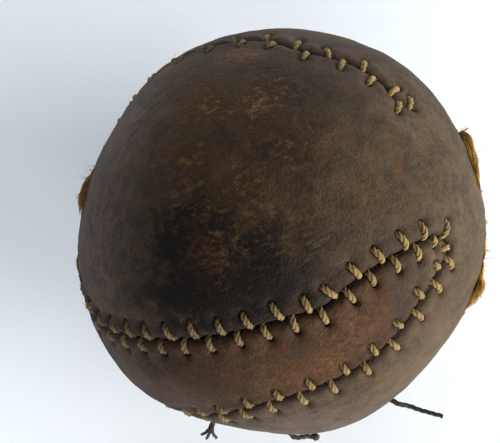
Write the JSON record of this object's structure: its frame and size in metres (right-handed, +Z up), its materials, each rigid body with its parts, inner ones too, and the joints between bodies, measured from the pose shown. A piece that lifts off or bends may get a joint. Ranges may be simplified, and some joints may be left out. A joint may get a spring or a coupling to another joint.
{
  "type": "lemon peel baseball",
  "caption": "Old hand-sewn ball with a dark leather lemon-peel cover, an inset petal, waxed thread seams and a wound core, made to be pitched and batted.",
  "frame": {"origin": "centre of the ball", "axes": "+Z up, away from the worn flat that the ball rests on; +X to the right and -Y towards the foot of the picture"},
  "size_m": [0.0725, 0.0712, 0.0696],
  "materials": {
    "peel_leather": "dark, worn and dry, with rusty scuffs",
    "petal_leather": "reddish brown, worn",
    "seam_thread": "twisted waxed linen, tan and grimy",
    "frayed_thread": "unravelled golden fibres",
    "waxed_tail": "dark waxed twine",
    "cotton_twine": "aged wound cotton",
    "wool_yarn": "grey wound wool",
    "core_rubber": "aged natural rubber"
  },
  "bodies": {
    "root": {"rubber_core": "core_rubber", "wool_winding": "wool_yarn", "twine_winding": "cotton_twine", "peel_cover": "peel_leather", "inset_petal": "petal_leather", "crown_seam_thread": "seam_thread", "petal_upper_thread": "seam_thread", "petal_tip_thread": "seam_thread", "petal_lower_thread": "seam_thread", "back_seam_thread": "seam_thread", "crossing_stitches": "seam_thread", "forked_tail": "waxed_tail", "short_tail": "waxed_tail", "stiff_tail": "waxed_tail", "frayed_end_upper": "frayed_thread", "frayed_end_lower": "frayed_thread", "frayed_end_left": "frayed_thread"}
  },
  "joints": []
}
